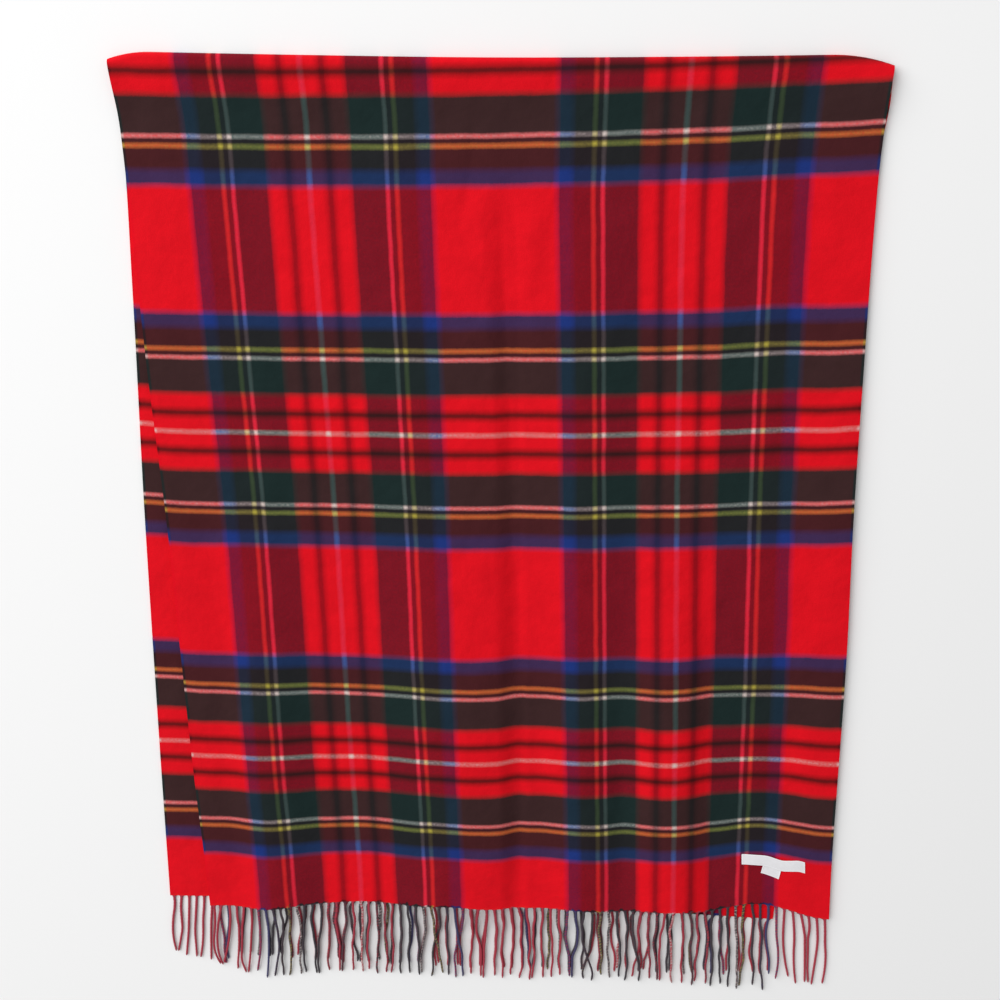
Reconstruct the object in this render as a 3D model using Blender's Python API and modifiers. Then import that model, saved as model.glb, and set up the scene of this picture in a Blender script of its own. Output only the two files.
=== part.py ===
"""Tartan blanket scarf, folded in half across its length and laid flat.

One woven rectangle about 0.70 m wide and 1.81 m long, with a twisted fringe on both ends and two
labels sewn on near the front hem. The fold lies at +Y and the two hems at -Y, one on the other.

Frame: metres, +X across the cloth, +Y towards the fold, +Z up. The origin is on the surface that the
scarf lies on, under the middle of its outline.

Cloth coordinates: "side" runs from -1 at the left selvedge to +1 at the right one, "across" is the
same place in millimetres of cloth, and "along" is millimetres of cloth from the woven middle line,
positive on the front half and negative on the back half.
"""
import math
import random
from collections import namedtuple

import bmesh
import bpy
from mathutils import Vector

MM = 0.001

# Driving sizes, in millimetres.
WALL = 2.0                    # thickness of the brushed cloth
GAP = 0.3                     # clearance where two pieces meet
FRONT_EDGE = 899.5            # along, where the front half ends and its fringe strip starts
BACK_EDGE = -906.5            # along, where the back half ends and its fringe strip starts
STRIP = 3.5                   # depth of the woven strip that the strands grow from
FRONT_SEAM = 50.0             # along, between the fold and the front half
BACK_SEAM = -30.0             # along, between the fold and the back half
LOOP_RADIUS = 4.8             # outer radius of the cloth's bend at the fold
LOOP_FALL = 60.0              # cloth that it takes to come down from the fold to the back half
SETTLE = 225.0                # cloth of the back half that takes up the droop of the corners
LOW_LEVEL = 0.4               # underside of the front half where it reaches past the back half
LOW_REACH = 45.0              # width over which it comes down to that level
TABLE_HALF = 350.0            # the across value that the left and right columns below stand for
SHEET_HALF = 352.0            # half of the cut width

# How the cloth lies, a row for each section. left and right are the selvedges (across), x_ is how far
# the cloth at the left, middle and right lies to +X of its own across value, and y_ is the place
# along Y plus the distance along the cloth from its middle line.
Section = namedtuple("Section", "along left right x_left x_mid x_right y_left y_mid y_right")
SECTIONS = (
    Section(-910.0, -352.0, 352.0, -17.5, -31.0, -44.5, 516.0, 509.5, 507.5),
    Section(-720.0, -352.0, 352.0, -13.5, -24.0, -35.0, 517.0, 507.0, 503.5),
    Section(-450.0, -352.0, 352.0, -6.5, -14.0, -21.5, 513.0, 501.0, 496.0),
    Section(-225.0, -352.0, 352.0, 1.5, -5.0, -9.0, 506.0, 496.0, 489.5),
    Section(-60.0, -352.0, 352.0, 5.0, -0.5, 1.0, 504.5, 503.5, 514.5),
    Section(0.0, -352.0, 352.0, -1.0, -0.5, 3.0, 504.5, 503.5, 514.5),
    Section(60.0, -351.0, 350.5, 3.0, 0.5, 1.5, 504.5, 503.5, 514.5),
    Section(130.0, -350.5, 348.5, 5.0, 1.5, 1.0, 503.5, 503.0, 514.5),
    Section(300.0, -350.5, 348.0, 10.0, 7.5, 3.5, 504.5, 504.0, 513.5),
    Section(450.0, -350.5, 349.5, 17.0, 11.5, 5.0, 508.5, 507.0, 517.0),
    Section(600.0, -353.5, 351.5, 21.5, 15.0, 9.0, 506.0, 506.5, 516.5),
    Section(750.0, -355.0, 353.0, 26.5, 19.0, 10.5, 504.0, 507.5, 514.5),
    Section(830.0, -352.0, 350.0, 27.0, 21.5, 15.0, 502.5, 507.5, 515.0),
    Section(903.0, -348.0, 346.0, 25.5, 22.5, 22.0, 500.5, 512.5, 511.0),
)

# The outline of the fold from above, before its corners droop: across, place along Y.
Crest = namedtuple("Crest", "across y")
CREST = (
    Crest(-352.0, 501.5),
    Crest(-180.0, 497.5),
    Crest(0.0, 494.5),
    Crest(180.0, 494.5),
    Crest(352.0, 496.0),
)

# The fold's corners hang back towards the hem: which side, how far, and over what width.
Corner = namedtuple("Corner", "side droop reach")
CORNERS = (
    Corner(-1, 6.7, 40.0),
    Corner(+1, 9.6, 55.0),
)

# The long soft folds of the front half: across at the fold and at the hem, half the width, and the
# heights at five stations from the fold to the hem. The last row is the crease down the middle.
STATIONS = (0.0, 225.0, 450.0, 675.0, 900.0)
Ridge = namedtuple("Ridge", "top hem half heights")
RIDGES = (
    Ridge(-352.0, -352.0, 55.0, (0.0, 1.0, 2.0, 2.5, 2.5)),
    Ridge(-258.0, -268.0, 58.0, (0.0, 0.0, 1.5, 7.0, 7.0)),
    Ridge(-60.0, -50.0, 115.0, (0.0, 2.0, 5.0, 12.0, 9.0)),
    Ridge(82.0, 75.0, 58.0, (0.0, 2.5, 5.0, 8.0, 8.0)),
    Ridge(160.0, 168.0, 62.0, (0.0, 0.0, 2.5, 11.0, 10.0)),
    Ridge(352.0, 352.0, 75.0, (0.0, 1.0, 3.5, 3.5, 2.5)),
    Ridge(0.0, 0.0, 330.0, (0.0, 1.5, 1.5, 1.5, 1.0)),
    Ridge(12.0, 0.0, 18.0, (0.0, -1.5, -2.0, -3.0, -2.5)),
)

# Where the weave is pulled towards the fold (+) or the hem (-) of the front half.
Pull = namedtuple("Pull", "across half amounts")
PULLS = (
    Pull(-315.0, 55.0, (0.0, 0.0, -1.5, -2.0, -3.5)),
    Pull(265.0, 55.0, (0.0, 2.0, 1.0, 1.0, 8.5)),
    Pull(350.0, 60.0, (0.0, 1.0, 1.0, -3.0, -6.0)),
)

# The fringes: strands on each hem and where their tips lie along Y.
Tip = namedtuple("Tip", "across y")
FRONT_TIPS = (
    Tip(-325.0, -484.0),
    Tip(-265.0, -499.0),
    Tip(-190.0, -489.0),
    Tip(0.0, -488.0),
    Tip(160.0, -484.0),
    Tip(270.0, -490.0),
    Tip(352.0, -488.0),
)
BACK_TIPS = (
    Tip(-352.0, -477.0),
    Tip(-335.0, -475.0),
    Tip(-318.0, -467.0),
    Tip(352.0, -466.0),
)
STRANDS = 78                  # on each hem
STRAND = 2.3                  # thickness of a strand
ROOT_SHARE = 0.78             # share of a strand's pitch that its root takes up
FLARE = 4.0                   # length over which the root narrows to the strand
SWAY = 2.6                    # most that a strand wanders to either side
TIP_JITTER = 3.0              # most that a tip is longer or shorter than its row says
TIP_TAPER = 0.75              # a tip's thickness, as a share of the strand's
TIP_CLEAR = 0.3               # a tip's clearance above the surface
LOW_SHELF = 2.9               # level of the front strands' undersides on top of the back strands
MID_RING = 0.5                # where a front strand has come down, as a share of its way
LOW_RINGS = (0.36, 0.68, 1.0) # rings of a strand that lies low all the way, as shares of its length
BACK_REACH = -473.0           # along Y, just past the longest back strand
BACK_CORNER = 312.0           # along X, just past the last back strand

# The labels, near the right end of the front hem: the label's middle in cloth coordinates, its size,
# and how far its upper and lower edges turn from the weft, in degrees. The care label starts at the
# main label's lower edge.
Label = namedtuple("Label", "name across along width depth upper_turn lower_turn")
LABELS = (
    Label("label_main", 285.5, 840.3, 69.4, 14.0, 1.0, 1.0),
    Label("label_care", 280.5, 854.2, 20.0, 13.2, 1.0, 16.5),
)
LABEL_WALL = 0.8
LABEL_CELLS = (8, 2)

# Grids: columns across the cloth and rows along it.
FRONT_GRID = (40, 16)
BACK_GRID = (12, 8)
FOLD_COLUMNS = 24
BEND_STEPS = 8
SHARP_EDGE = math.radians(50)
AHEAD = -0.7                  # a face whose normal's Y is under this looks towards the hem

Finish = namedtuple("Finish", "name color roughness")
TARTAN = Finish("brushed_tartan", (0.42, 0.03, 0.04), 0.9)
FRINGE = Finish("twisted_yarn", (0.35, 0.03, 0.04), 0.9)
SATIN = Finish("label_satin", (0.82, 0.82, 0.80), 0.6)

QUARTER = math.pi / 2 * LOOP_RADIUS     # outer cloth from the crest to where the bend ends


def smooth(t):
    """Ease from 0 to 1."""
    t = min(max(t, 0.0), 1.0)
    return t * t * (3 - 2 * t)


def through(stops, values, at):
    """The smooth curve through values at stops, read at one place."""
    last = len(stops) - 1
    at = min(max(at, stops[0]), stops[last])
    i = 0
    while i < last - 1 and at > stops[i + 1]:
        i += 1

    def slope(k):
        low, high = max(k - 1, 0), min(k + 1, last)
        return (values[high] - values[low]) / (stops[high] - stops[low])

    span = stops[i + 1] - stops[i]
    t = (at - stops[i]) / span
    return ((1 + 2 * t) * (1 - t) ** 2 * values[i] + t * t * (3 - 2 * t) * values[i + 1]
            + t * (1 - t) ** 2 * span * slope(i) + t * t * (t - 1) * span * slope(i + 1))


def read(rows, key, field, at):
    """One column of a table, read between its rows."""
    return through([getattr(r, key) for r in rows], [getattr(r, field) for r in rows], at)


def bend_across(left, mid, right, across):
    """A gentle curve through the left, middle and right values."""
    t = across / TABLE_HALF
    return mid + t * (right - left) / 2 + t * t * ((left + right) / 2 - mid)


def hump(distance, half):
    """A soft rounded profile: 1 in the middle, 0 from half its width outwards."""
    return math.cos(min(abs(distance) / half, 1.0) * math.pi / 2) ** 2


def laid_x(across, along):
    """Place along X of a point of cloth."""
    shift = [read(SECTIONS, "along", f, along) for f in ("x_left", "x_mid", "x_right")]
    return across + bend_across(*shift, across)


def laid_sum(across, along):
    """Place along Y plus the cloth between the point and the middle line."""
    reach = [read(SECTIONS, "along", f, along) for f in ("y_left", "y_mid", "y_right")]
    total = bend_across(*reach, across)
    for pull in PULLS:
        total += through(STATIONS, pull.amounts, along) * hump(across - pull.across, pull.half)
    return total


def bend_line(across):
    """The middle of the bend: its place along Y, and the cloth's along value at its crest."""
    crest = read(CREST, "across", "y", across)
    for corner in CORNERS:
        inset = SHEET_HALF - corner.side * across
        crest -= corner.droop * max(0.0, 1 - inset / corner.reach) ** 2
    middle = crest - LOOP_RADIUS
    return middle, laid_sum(across, 0.0) - middle - QUARTER


def rise(across, along):
    """How far the long folds lift the front half."""
    total = 0.0
    for ridge in RIDGES:
        line = ridge.top + (ridge.hem - ridge.top) * along / STATIONS[-1]
        total += through(STATIONS, ridge.heights, along) * hump(across - line, ridge.half)
    return max(total, 0.0)


def rest_level(across, along):
    """Height of the front half's outer face where no fold lifts it."""
    back_right = SHEET_HALF + bend_across(
        *[read(SECTIONS, "along", f, -along) for f in ("x_left", "x_mid", "x_right")], SHEET_HALF)
    past = laid_x(across, along) - back_right - 2 * WALL
    on_back = 2 * WALL + GAP
    return on_back + (LOW_LEVEL + WALL - on_back) * smooth(past / LOW_REACH)


def to_across(side, along):
    """The across value of a point given as a share of the half width."""
    left = read(SECTIONS, "along", "left", along)
    right = read(SECTIONS, "along", "right", along)
    return (left + right) / 2 + side * (right - left) / 2


def cloth_point(across, along):
    """A point of the cloth's outer face, in metres."""
    middle, crest_along = bend_line(across)
    past = along - crest_along
    x = laid_x(across, along)
    if past > QUARTER:
        rest = rest_level(across, along)
        y = laid_sum(across, along) - along
        z = rest + (2 * LOOP_RADIUS - rest) * (1 - smooth((past - QUARTER) / LOOP_FALL))
        z += rise(across, along)
    elif past > -QUARTER:
        turn = past / LOOP_RADIUS
        y = middle + LOOP_RADIUS * math.cos(turn)
        z = LOOP_RADIUS * (1 + math.sin(turn))
    else:
        at_bend = middle - (crest_along - QUARTER)
        settled = smooth((-past - QUARTER) / SETTLE)
        y = at_bend + (laid_sum(across, along) - at_bend) * settled + along
        z = 0.0
    return Vector((x, y, z)) * MM


def material(finish):
    """The finish's material, made once."""
    if finish.name in bpy.data.materials:
        return bpy.data.materials[finish.name]
    made = bpy.data.materials.new(finish.name)
    made.use_nodes = True
    shader = made.node_tree.nodes["Principled BSDF"]
    shader.inputs["Base Color"].default_value = (*finish.color, 1.0)
    shader.inputs["Roughness"].default_value = finish.roughness
    shader.inputs["Metallic"].default_value = 0.0
    return made


def add_object(collection, name, bm, finish):
    """Put a finished bmesh in the collection as a named object."""
    mesh = bpy.data.meshes.new(name)
    bm.to_mesh(mesh)
    bm.free()
    mesh.materials.append(material(finish))
    mesh.shade_smooth()
    mesh.set_sharp_from_angle(angle=SHARP_EDGE)
    item = bpy.data.objects.new(name, mesh)
    collection.objects.link(item)
    return item


def add_wall(item, thickness, inward=True):
    """Give an open surface its thickness, keeping its own face outermost or innermost."""
    wall = item.modifiers.new("wall", "SOLIDIFY")
    wall.thickness = thickness * MM
    wall.offset = -1.0 if inward else 1.0
    wall.use_even_offset = True
    return item


def cloth_panel(collection, name, columns, rows, along_of):
    """A stretch of cloth: a grid laid on the cloth's outer face, with a wall behind it.

    along_of(side, row) gives the cloth's along value for row 0 at the front to the last row."""
    bm = bmesh.new()
    bmesh.ops.create_grid(bm, x_segments=columns, y_segments=rows, size=1.0)
    for vert in bm.verts:
        side = vert.co.x
        row = round((vert.co.y + 1) / 2 * rows)
        along = along_of(side, row)
        vert.co = cloth_point(to_across(side, along), along)
    return add_wall(add_object(collection, name, bm, TARTAN), WALL)


def even_rows(front, back, rows):
    """Rows spaced evenly from front to back."""
    return lambda side, row: front + (back - front) * row / rows


def fold_row(side, row):
    """Rows of the fold: down to the bend, around it in even steps, and on to the back seam."""
    crest_along = bend_line(side * SHEET_HALF)[1]
    bend = [crest_along + QUARTER * (1 - 2 * step / BEND_STEPS) for step in range(BEND_STEPS + 1)]
    return ([FRONT_SEAM, (FRONT_SEAM + bend[0]) / 2] + bend + [BACK_SEAM])[row]


def strand_path(rng, root, tip_y, low_at_root):
    """The feet of a strand's rings after its root, from the flare to the tip, in millimetres.

    low_at_root is the level that the strand's underside comes down to, before its tip."""
    half = STRAND / 2
    sways = [0.0] + [rng.uniform(-SWAY, SWAY) for _ in range(3)]
    if low_at_root > TIP_CLEAR:
        down_y = root.y + (BACK_REACH - root.y) * MID_RING
        y_rings = [root.y - FLARE, down_y, BACK_REACH, tip_y]
    else:
        y_rings = [root.y - FLARE] + [root.y + (tip_y - root.y) * t for t in LOW_RINGS]
    lows = [max(low_at_root, root.z - half), low_at_root, low_at_root, TIP_CLEAR]
    return [Vector((root.x + sway, y, low)) for sway, y, low in zip(sways, y_rings, lows)]


def from_left(faces):
    """Faces in their order along X."""
    return sorted(faces, key=lambda face: face.calc_center_median().x)


def set_section(face, foot, width):
    """Shape a strand's end face as an upright square standing on foot, in millimetres."""
    by_side = sorted(face.verts, key=lambda vert: vert.co.x)
    for out, pair in ((-0.5, by_side[:2]), (0.5, by_side[2:])):
        low, high = sorted(pair, key=lambda vert: vert.co.z)
        low.co = (foot + Vector((out * width, 0.0, 0.0))) * MM
        high.co = (foot + Vector((out * width, 0.0, width))) * MM


def hem_point(columns, side, along):
    """A point past a panel's last row, on the straight runs between the panel's columns."""
    place = (side + 1) / 2 * columns
    first = min(int(place), columns - 1)
    ends = [cloth_point(to_across(2 * k / columns - 1, along), along) for k in (first, first + 1)]
    return ends[0].lerp(ends[1], place - first)


def fringe(collection, name, panel_columns, edge, sign, tips, seed):
    """A narrow woven strip past the cloth's edge, and the strands that grow from it."""
    rng = random.Random(seed)
    columns = 2 * STRANDS + 1
    pitch = 2.0 / STRANDS
    bm = bmesh.new()
    bmesh.ops.create_grid(bm, x_segments=columns, y_segments=1, size=1.0)
    for vert in bm.verts:
        column = round((vert.co.x + 1) / 2 * columns)
        strand, is_right = divmod(column - 1, 2)
        side = -1 + pitch * (strand + 0.5 + (ROOT_SHARE / 2 if is_right else -ROOT_SHARE / 2))
        side = min(max(side, -1.0), 1.0)
        along = edge + sign * GAP if vert.co.y > 0 else edge + sign * (GAP + STRIP)
        vert.co = hem_point(panel_columns, side, along)
        if sign > 0:
            vert.co.z -= WALL * MM
    bottom = list(bm.faces)
    top = bmesh.ops.extrude_face_region(bm, geom=bottom)["geom"]
    raised = [part for part in top if isinstance(part, bmesh.types.BMVert)]
    bmesh.ops.translate(bm, verts=raised, vec=(0.0, 0.0, WALL * MM))
    bmesh.ops.recalc_face_normals(bm, faces=bm.faces)
    ends = from_left(face for face in bm.faces if face.normal.y < AHEAD)[1::2]
    paths = []
    for face in ends:
        root = face.calc_center_median() / MM
        tip_y = read(tips, "across", "y", root.x) + rng.uniform(-TIP_JITTER, TIP_JITTER)
        on_back = sign > 0 and root.x < BACK_CORNER
        paths.append(strand_path(rng, root, tip_y, LOW_SHELF if on_back else TIP_CLEAR))
    for ring in range(len(paths[0])):
        ends = from_left(bmesh.ops.extrude_discrete_faces(bm, faces=ends)["faces"])
        width = STRAND * (TIP_TAPER if ring == len(paths[0]) - 1 else 1.0)
        for face, path in zip(ends, paths):
            set_section(face, path[ring], width)
    bmesh.ops.recalc_face_normals(bm, faces=bm.faces)
    return add_object(collection, name, bm, FRINGE)


def label(collection, row):
    """A woven label: a thin plate made from the cloth's points below it, moved out."""
    columns, rows = LABEL_CELLS
    bm = bmesh.new()
    bmesh.ops.create_grid(bm, x_segments=columns, y_segments=rows, size=0.5)
    for vert in bm.verts:
        out, up = vert.co.x * row.width, vert.co.y
        turn = math.radians(row.upper_turn + (row.lower_turn - row.upper_turn) * (0.5 - up))
        across = row.across + out * math.cos(turn)
        along = row.along - up * row.depth + out * math.sin(turn)
        vert.co = cloth_point(across, along) + Vector((0.0, 0.0, GAP * MM))
    return add_wall(add_object(collection, row.name, bm, SATIN), LABEL_WALL, inward=False)


def main():
    for item in list(bpy.data.objects):
        bpy.data.objects.remove(item, do_unlink=True)
    scarf = bpy.data.collections.new("tartan_blanket_scarf")
    bpy.context.scene.collection.children.link(scarf)

    cloth_panel(scarf, "front_half", *FRONT_GRID,
                even_rows(FRONT_EDGE, FRONT_SEAM + GAP, FRONT_GRID[1]))
    cloth_panel(scarf, "fold", FOLD_COLUMNS, BEND_STEPS + 3, fold_row)
    cloth_panel(scarf, "back_half", *BACK_GRID,
                even_rows(BACK_SEAM - GAP, BACK_EDGE, BACK_GRID[1]))
    fringe(scarf, "fringe_front", FRONT_GRID[0], FRONT_EDGE, +1, FRONT_TIPS, seed=11)
    fringe(scarf, "fringe_back", BACK_GRID[0], BACK_EDGE, -1, BACK_TIPS, seed=23)
    for row in LABELS:
        label(scarf, row)


main()
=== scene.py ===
"""Looks of a tartan blanket scarf, folded in half across its length and laid flat.

The scarf is one sheet of brushed twill, 0.70 m wide and 1.81 m long, with a twisted fringe on both
ends and two blank labels sewn on near the front hem. The file is laid out as a Blender add-on.

Frame: metres, +X across the cloth, +Y towards the fold, +Z up, the origin on the surface that the
scarf lies on. Sizes in the tables are in millimetres. Cloth coordinates are "across", the distance
to +X of the cloth's own middle, and "along", the distance of cloth from its woven middle line,
positive on the front half and negative on the back half.
"""

import math
from collections import namedtuple
from functools import partial

import bmesh
import bpy
import numpy as np
from mathutils import Matrix, Vector


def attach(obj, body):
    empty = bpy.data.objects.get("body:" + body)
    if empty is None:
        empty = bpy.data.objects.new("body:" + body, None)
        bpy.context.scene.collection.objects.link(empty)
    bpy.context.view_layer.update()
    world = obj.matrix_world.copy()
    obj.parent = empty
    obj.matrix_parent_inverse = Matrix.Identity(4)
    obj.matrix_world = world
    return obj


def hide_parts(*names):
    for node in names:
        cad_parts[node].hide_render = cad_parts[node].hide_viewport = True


bl_info = {
    "name": "Tartan Blanket Scarf",
    "version": (1, 0, 0),
    "blender": (4, 5, 0),
    "location": "View3D > Sidebar > Scarf",
    "description": "Weaves, twists and lays out a folded tartan scarf with fringes and labels",
    "category": "Add Mesh",
}

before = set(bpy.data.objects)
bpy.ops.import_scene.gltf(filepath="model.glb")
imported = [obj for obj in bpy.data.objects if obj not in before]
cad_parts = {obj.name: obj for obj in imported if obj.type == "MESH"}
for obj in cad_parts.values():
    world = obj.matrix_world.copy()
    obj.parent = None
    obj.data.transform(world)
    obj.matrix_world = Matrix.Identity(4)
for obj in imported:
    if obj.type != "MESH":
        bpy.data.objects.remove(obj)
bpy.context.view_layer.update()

MM = 0.001
BODY = "root"

# --- How the cloth lies, in millimetres ----------------------------------------------------------
# The wall, the bend and the long folds are as in the solids. The hems and the back half are up to
# 10 mm off them.
WALL = 2  # thickness of the brushed cloth
GAP = 0.3  # clearance between the two layers
FRONT_HEM = 903  # along, where the front half's fringe starts
BACK_HEM = -910  # along, where the back half's fringe starts
LOOP_RADIUS = 4.8  # outer radius of the cloth's bend at the fold
LOOP_FALL = 60  # cloth that it takes to come down from the fold to the back half
SETTLE = 225  # cloth of the back half that takes up the droop of the corners
LOW_LEVEL = 0.4  # underside of the front half where it reaches past the back half
LOW_REACH = 45  # width over which it comes down to that level
TABLE_HALF = 350  # the across value that the left and right columns below stand for
SHEET_HALF = 352  # half of the cut width
QUARTER = math.pi / 2 * LOOP_RADIUS

# left and right are the selvedges (across), x_ is how far the cloth at the left, middle and right
# lies to +X of its own across value, and y_ is the place along Y plus the cloth from the middle
# line.
Section = namedtuple("Section", "along left right x_left x_mid x_right y_left y_mid y_right")
SECTIONS = (
    Section(-910, -352, 352, -17.5, -31, -44.5, 516.5, 519, 510.5),
    Section(-720, -352, 352, -13.5, -24, -35, 518.5, 514, 504.5),
    Section(-450, -352, 352, -6.5, -14, -21.5, 515, 503.5, 496),
    Section(-225, -352, 352, 1.5, -5, -10.5, 508, 496.5, 489.5),
    Section(-60, -352, 352, 5, -0.5, -1.8, 504.5, 503.5, 514.5),
    Section(0, -352, 352, -1, -0.5, 3, 504.5, 503.5, 514.5),
    Section(60, -351, 350.5, 3, 0.5, 1.5, 504.5, 503.5, 514.5),
    Section(130, -350.5, 348.5, 5, 1.5, 1, 503.5, 503, 514.5),
    Section(300, -351.5, 348, 10, 7.5, 3.5, 504.5, 504, 513.5),
    Section(450, -352.3, 349.5, 17, 11.5, 5, 508.5, 507, 517),
    Section(600, -353.5, 351.5, 21.5, 15, 9, 506, 506.5, 516.5),
    Section(750, -355, 353, 26.5, 19, 10.5, 504, 507.5, 514.5),
    Section(830, -352, 350, 27, 21.5, 15, 502.5, 507.5, 515),
    Section(903, -348, 346, 25.5, 22.5, 22, 500.5, 512.5, 511),
)

# The outline of the fold from above, before its corners droop.
Crest = namedtuple("Crest", "across y")
CREST = (
    Crest(-352, 501.5),
    Crest(-180, 497.5),
    Crest(0, 494.5),
    Crest(180, 494.5),
    Crest(352, 496),
)
Corner = namedtuple("Corner", "side droop reach")
CORNERS = (
    Corner(-1, 6.7, 40),
    Corner(+1, 9.6, 55),
)

# The long soft folds of the front half: across at the fold and at the hem, half the width, and the
# heights at five stations from the fold to the hem.
STATIONS = (0, 225, 450, 675, 900)
Ridge = namedtuple("Ridge", "top hem half heights")
RIDGES = (
    Ridge(-352, -352, 55, (0, 1, 2, 2.5, 2.5)),
    Ridge(-258, -268, 58, (0, 0, 1.5, 7, 7)),
    Ridge(-60, -50, 115, (0, 2, 5, 12, 9)),
    Ridge(82, 75, 58, (0, 2.5, 5, 8, 8)),
    Ridge(160, 168, 62, (0, 0, 2.5, 11, 10)),
    Ridge(352, 352, 75, (0, 1, 3.5, 3.5, 2.5)),
    Ridge(0, 0, 330, (0, 1.5, 1.5, 1.5, 1)),
    Ridge(12, 0, 18, (0, -1.5, -2, -3, -2.5)),
)
# Where the cloth is pulled towards the fold (PULLS) or to +X (DRIFTS), at the same five stations.
Pull = namedtuple("Pull", "across half amounts")
PULLS = (
    Pull(-315, 55, (0, 0, -1.5, -2, -3.5)),
    Pull(268, 66, (0, 2, 1, 1, 11.5)),
    Pull(350, 48, (0, 1, 1, -3, -4)),
    Pull(-330, 40, (0, 0, 0, 0, 3)),
    Pull(-276, 36, (0, 0, 0, 0, -2.4)),
    Pull(-172, 70, (0, 0, 0, 0, 3.5)),
    Pull(-70, 45, (0, 0, 0, 0, 2.4)),
    Pull(108, 40, (0, 0, 0, 0, -2.2)),
    Pull(175, 48, (0, 0, 0, 0, 2.4)),
)
DRIFTS = (
    Pull(-255, 110, (0, 0, 0, -1.2, -2.6)),
    Pull(118, 110, (0, 0, 0, 0.5, 2.6)),
    Pull(195, 50, (0, 0, 0, 0.8, 1.6)),
)

# Smaller creases that the solids leave out, each a trough (-) or a ridge (+) from one place on the
# cloth to another, bowed sideways by "bow", with a width of its own on its -X and its +X side.
Crease = namedtuple("Crease", "from_across from_along to_across to_along bow left right height")
CREASES = (
    Crease(7, 95, 9, 470, -1.5, 13, 26, -1.9),  # pressed in by folding it lengthwise
    Crease(9, 400, 16, 700, 1, 11, 24, -2.7),
    Crease(17, 620, 6, 905, 3, 12, 26, -2.5),
    Crease(-15, 110, -8, 430, 0, 20, 10, 1.3),  # the shoulders on its two sides
    Crease(34, 120, 36, 330, 2, 12, 20, 1.5),
    Crease(28, 250, 66, 118, -1, 9, 15, -1.6),  # curves away from it to the fold
    Crease(-19, 50, -40, 172, -4, 5, 12, -1),
    Crease(199, 410, 207, 640, 1.5, 10, 20, -1.4),
    Crease(206, 590, 218, 905, -2, 12, 24, -2.6),
    Crease(224, 465, 226, 575, 0, 7, 12, -0.9),
    Crease(80, 500, 84, 620, 2, 10, 16, -1),
    Crease(-52, 201, -4, 200, 0.5, 3.5, 6, -0.5),  # pressed across the cloth
    Crease(-228, 198, -118, 197, 1, 4, 7, -0.6),
    Crease(-190, 236, -172, 300, 4, 9, 16, -0.9),
    Crease(-238, 300, -246, 520, -4, 12, 22, 1),
    Crease(-126, 330, -140, 560, 5, 12, 26, -1),
    Crease(286, 60, 268, 240, -6, 14, 24, 1),
    Crease(150, 90, 138, 330, 5, 12, 24, -0.9),
    Crease(-310, 420, -296, 640, 5, 10, 20, -1),
    Crease(-186, 650, -178, 890, 3, 12, 24, -1.2),
    Crease(-96, 700, -92, 890, -2, 10, 18, -1),
    Crease(122, 700, 118, 890, 3, 10, 18, -1.4),
    Crease(292, 640, 300, 800, 3, 12, 22, -1),
)
CREASE_FADE = 0.22  # share of a crease's length over which each end dies away
CREASE_EDGE = 1.4  # 2 is a rounded trough, 1 a sharp one: these were pressed in
LOWEST = -0.2  # the most that a crease takes the cloth below the level that it rests at

# The sheet's grid: columns that crowd together at the middle crease, rows at the bend.
FINE_HALF = 32  # across, the columns are fine from here to the other side
FINE_STEP = 2.2
WIDE_STEP = 5
FRONT_STEP = 5.2
BEND_STEP = 1
BACK_STEP = 10
BEND_SPAN = (-26, 34)  # along, where the rows are fine

# --- The weave -----------------------------------------------------------------------------------
# Threads from the white pivot to the middle of the red block, each stripe named by its yarn. The
# lines' centres are the same in weft and warp, but the dark ones look wider where they are warp.
Stripe = namedtuple("Stripe", "yarn weft warp")
SETT = (
    Stripe("white", 1.7, 1.7),
    Stripe("red", 13.6, 12.9),
    Stripe("maroon", 8.4, 9.8),
    Stripe("red", 14.8, 14.1),
    Stripe("green", 34.4, 34.2),
    Stripe("white", 2.8, 2.6),
    Stripe("black", 5.4, 6.2),
    Stripe("yellow", 3.3, 2.9),
    Stripe("black", 19.1, 19.1),
    Stripe("blue", 14, 14),
    Stripe("red", 57.5, 57.5),
)
HALF_SETT = sum(stripe.weft for stripe in SETT)
WARP_PITCH = 1  # spacing of the threads that run from hem to hem
WEFT_PITCH = 1.0229  # spacing of the threads that run from selvedge to selvedge
WEFT_SHARE = 0.68  # how much of what shows is weft
SELVEDGE_SHARE = 0.90  # the same where the weft turns back at the selvedge
SELVEDGE = 2.2  # width of that edge
BLEND_POWER = 0.03  # milled fibres mix almost like dyes: close to a geometric mean
TWILL = 2  # width of one repeat of the twill: four fine threads, two to a pitch
SOFT = 3.3  # how far, in threads, a stripe's edge spreads: the cloth is milled
NARROW = 0.49  # share of a narrow stripe that each of its two edges takes

# Where the wool is uneven: how large the patches are, in millimetres, and how fine and how broken.
Grain = namedtuple("Grain", "name size detail roughness", defaults=(0.5,))
WOOL_GRAINS = (
    Grain("drift", 30, 2),  # the threads wander
    Grain("fray", 1.6, 1),  # fibres stray over a stripe's edge
    Grain("speck", 2.2, 1),  # light weft shows in flecks
    Grain("bare", 6, 2),  # weft has slipped off at the hems
    Grain("cloud", 26, 5, 0.65),  # the nap lies this way and that
    Grain("nap", 1.3, 2),  # single tufts
    Grain("rumple", 38, 3),
)
STRAYS = (("drift", 1.8), ("fray", 1.1))  # how far, in millimetres, the first two reach
SPECK_LEVEL = 0.58  # above this a fleck shows more weft, and below it less
SWING, EVEN_SWING = 0.12, 0.012  # how far the twill moves the share of white weft, and of any
SELVEDGE_BLEND = (-1, 0.5)  # from its inner side, where the selvedge's share starts and is full
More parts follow.
